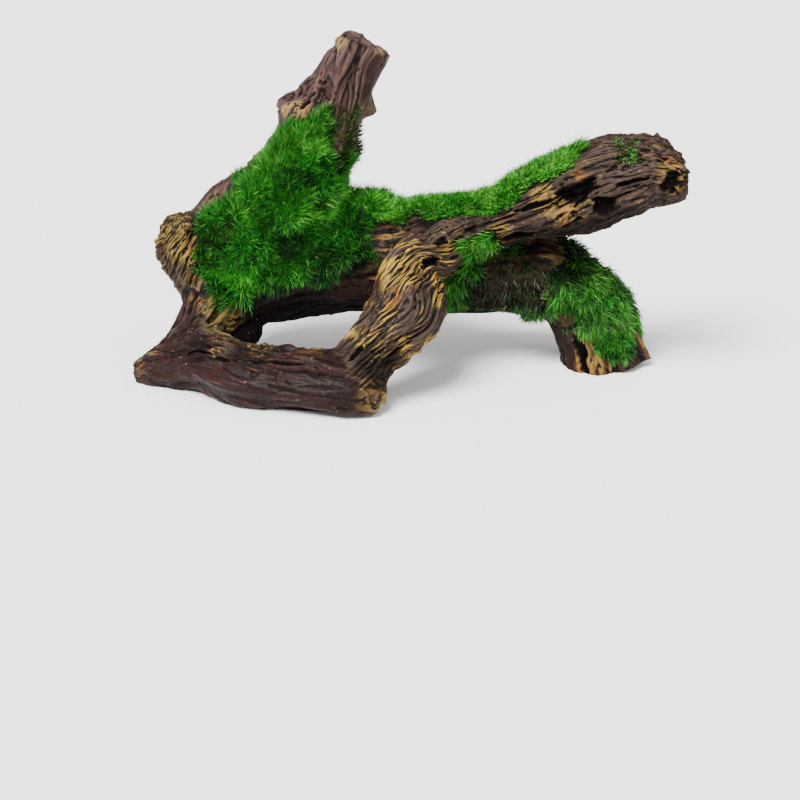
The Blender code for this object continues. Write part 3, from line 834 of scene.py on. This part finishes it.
def new_group(name, inputs, outputs):
    """A shader node group with the named inputs (with start values) and outputs."""
    tree = bpy.data.node_groups.new(name, "ShaderNodeTree")
    for key, kind, value in inputs:
        socket = tree.interface.new_socket(key, in_out="INPUT", socket_type=kind)
        if value is not None:
            socket.default_value = value
    for key, kind in outputs:
        tree.interface.new_socket(key, in_out="OUTPUT", socket_type=kind)
    return tree, tree.nodes.new("NodeGroupInput"), tree.nodes.new("NodeGroupOutput")


def bark_paint_and_painted_light():
    """Painted bark: black grooves, a purple-brown coat, tan and gold lines on top, dark green under moss.

    Black covers what the relief puts low, and the painted shade where shade falls. Gold covers its own mask,
    broken up by specks, and turns orange in patches. Gilded places get a thin wash of it as well. Small pale
    painted highlights lie on the high parts, a thin olive film where the moss is worn, and under the moss the
    dark green is made near black as painted shade.
    """
    tree, given, out = new_group(
        "bark_paint_and_painted_light",
        (("Relief", "NodeSocketFloat", 0.5), ("Gold", "NodeSocketFloat", 0.5),
         ("Gilt", "NodeSocketFloat", 0.0), ("Bed", "NodeSocketFloat", 0.0), ("Grime", "NodeSocketFloat", 0.0),
         ("Soot", "NodeSocketFloat", 1.0), ("Film", "NodeSocketFloat", 0.0),
         ("Coat", "NodeSocketColor", (0.02, 0.01, 0.01, 1)), ("Tan", "NodeSocketColor", (0.2, 0.13, 0.04, 1))),
        (("Color", "NodeSocketColor"), ("Gloss", "NodeSocketFloat"), ("Height", "NodeSocketFloat")),
    )
    n = Nodes(tree)
    take = given.outputs
    place = n.add("ShaderNodeTexCoord").outputs["Object"]
    blotch = n.noise(place, 60.0, 3.0)
    speck = n.noise(place, 450.0, 4.0, 0.65)
    grit = n.noise(place, 1600.0, 2.0, 0.6)
    relief = n.math("ADD", take["Relief"], n.math("MULTIPLY", n.math("SUBTRACT", speck, 0.5), 0.35))
    warm = n.mix(0.4, take["Coat"], RED_BROWN_PAINT)
    coat = n.mix(n.ramp(blotch, 0.38, 0.62), take["Coat"], warm)
    pale = n.mix(1.0, take["Coat"], (2.9, 2.9, 2.7), "MULTIPLY")
    coat = n.mix(n.math("MULTIPLY", n.ramp(n.noise(place, 32.0, 2.0), 0.47, 0.62), 0.45), coat, pale)
    coat = n.mix(n.math("MULTIPLY", n.ramp(relief, 0.50, 0.95), 0.6), coat, pale)
    coat = n.mix(n.math("MULTIPLY", n.ramp(grit, 0.5, 0.8), 0.4), coat, pale)
    black = n.math("MULTIPLY", n.ramp(relief, 0.42, 0.14), take["Soot"], clamp=True)
    # The painted shade turns the colour black as well.
    black = n.math("MAXIMUM", black, take["Grime"])
    colour = n.mix(black, coat, BLACK_PAINT)
    orange = n.ramp(n.noise(place, 95.0, 2.0), 0.54, 0.68)
    tan = n.mix(n.math("MULTIPLY", orange, 0.85), take["Tan"], ORANGE_PAINT)
    wash = n.math("MULTIPLY", n.math("MULTIPLY", take["Gilt"], n.ramp(relief, 0.25, 0.75)), 0.5)
    colour = n.mix(wash, colour, tan)
    edge = n.math("MULTIPLY", n.ramp(take["Gold"], 0.12, 0.60), n.ramp(speck, 0.30, 0.50), clamp=True)
    colour = n.mix(edge, colour, tan)
    # Painted highlights: small pale glints on the high parts.
    glint = n.math("MULTIPLY", n.ramp(n.noise(place, 800.0, 2.0), 0.66, 0.74), n.ramp(relief, 0.45, 0.8))
    colour = n.mix(n.math("MULTIPLY", glint, 0.8), colour, PAINTED_GLINT)
    film = n.math("MULTIPLY", take["Film"], n.ramp(speck, 0.35, 0.60))
    colour = n.mix(n.math("MULTIPLY", film, 0.75), colour, OLIVE_FILM)
    # The bed: dark green under the moss, near black as painted shade.
    green = n.mix(n.ramp(speck, 0.3, 0.7), BED_DARK, BED_GREEN)
    colour = n.mix(n.math("MULTIPLY", take["Bed"], 0.9), colour, green)
    tree.links.new(colour, out.inputs["Color"])
    gloss = n.math("ADD", 0.30, n.math("MULTIPLY", speck, 0.35))
    rough = n.math("ADD", n.math("MULTIPLY", take["Grime"], 0.5), n.math("MULTIPLY", film, 0.3))
    tree.links.new(n.math("ADD", gloss, rough, clamp=True), out.inputs["Gloss"])
    height = n.math("ADD", n.math("MULTIPLY", speck, 0.7), n.math("MULTIPLY", grit, 0.3))
    tree.links.new(height, out.inputs["Height"])
    return tree


def bark_material(name, paint):
    """Satin painted bark with the limb's own coat, line colour and soot."""
    style = LIMBS[name]
    made = bpy.data.materials.new(name + "_paint")
    made.use_nodes = True
    shader = made.node_tree.nodes["Principled BSDF"]
    n = Nodes(made.node_tree)
    group = n.add("ShaderNodeGroup", dict(node_tree=paint), Coat=(*style["coat"], 1), Tan=(*style["tan"], 1),
                  Soot=style["soot"])
    for key in ("Relief", "Gold", "Gilt", "Bed", "Grime", "Film"):
        n.put(group, key, n.attribute(key.lower()))
    n.put(shader, "Base Color", group.outputs["Color"])
    n.put(shader, "Roughness", group.outputs["Gloss"])
    shader.inputs["Specular IOR Level"].default_value = 0.09
    bump = n.add("ShaderNodeBump", Height=group.outputs["Height"], Strength=0.7, Distance=0.0004)
    n.put(shader, "Normal", bump.outputs["Normal"])
    return made


def moss_material():
    """Moss fibres: near black at the root, bright green at the tip, some yellow-green, dull where shaded."""
    made = bpy.data.materials.new("moss_fibre")
    made.use_nodes = True
    shader = made.node_tree.nodes["Principled BSDF"]
    n = Nodes(made.node_tree)
    painted_light, tint, shade = (n.attribute(key) for key in ("painted_light", "tint", "shade"))
    green = n.mix(n.ramp(tint, 0.0, 0.55), MOSS_DEEP, MOSS_GREEN)
    green = n.mix(n.ramp(tint, 0.50, 0.80), green, MOSS_LIGHT)
    green = n.mix(n.ramp(tint, 0.80, 1.0), green, MOSS_PALE)
    green = n.mix(shade, green, MOSS_DULL)
    # Painted shade: each fibre fades to near black towards its root.
    colour = n.mix(n.ramp(painted_light, 0.08, 0.80), MOSS_ROOT_SHADE, green)
    n.put(shader, "Base Color", colour)
    shader.inputs["Roughness"].default_value = 0.5
    shader.inputs["Specular IOR Level"].default_value = 0.25
    return made


def stage():
    """A wide pale floor under a white sky, a broad soft sun from the upper left and a weak fill opposite."""
    world = bpy.data.worlds.new("studio")
    bpy.context.scene.world = world
    world.use_nodes = True
    sky = world.node_tree.nodes["Background"].inputs
    sky["Color"].default_value = (1, 1, 1, 1)
    sky["Strength"].default_value = 0.85
    bpy.ops.mesh.primitive_plane_add(size=40)
    floor = bpy.context.object
    floor.name = "floor"
    pale = bpy.data.materials.new("floor_pale")
    pale.use_nodes = True
    finish = pale.node_tree.nodes["Principled BSDF"].inputs
    finish["Base Color"].default_value = (0.95, 0.95, 0.95, 1)
    finish["Roughness"].default_value = 0.9
    floor.data.materials.append(pale)
    lamps = (("sun", (0.40, 0.58, -0.95), 9.0, 30), ("fill", (-0.8, 0.6, -0.6), 1.2, 60))
    for name, (x, y, z), strength, spread in lamps:
        lamp = bpy.data.lights.new(name, "SUN")
        lamp.energy, lamp.angle = strength, math.radians(spread)
        obj = bpy.data.objects.new(name, lamp)
        obj.rotation_euler = (math.atan2(math.hypot(x, y), -z), 0, math.atan2(-x, y))
        obj.location = (0, 0, 1)
        bpy.context.scene.collection.objects.link(obj)


def camera():
    """The photograph's view: a long lens 1.3 m away, 18 degrees above the object's middle, leant down."""
    data = bpy.data.cameras.new("camera")
    data.sensor_width = 36
    data.lens = LENS
    obj = bpy.data.objects.new("camera", data)
    obj.location = metres(np.array(CAMERA_PLACE))
    obj.rotation_euler = (math.radians(CAMERA_LEAN), 0, 0)
    bpy.context.scene.collection.objects.link(obj)
    bpy.context.scene.camera = obj


camera()
stage()
paint = bark_paint_and_painted_light()
for limb_name in LIMBS:
    limb_skin(limb_name, bark_material(limb_name, paint))
moss_green = moss_material()
for patch_name, patch_facts in MOSS.items():
    moss_fibres(patch_name, patch_facts, moss_green)
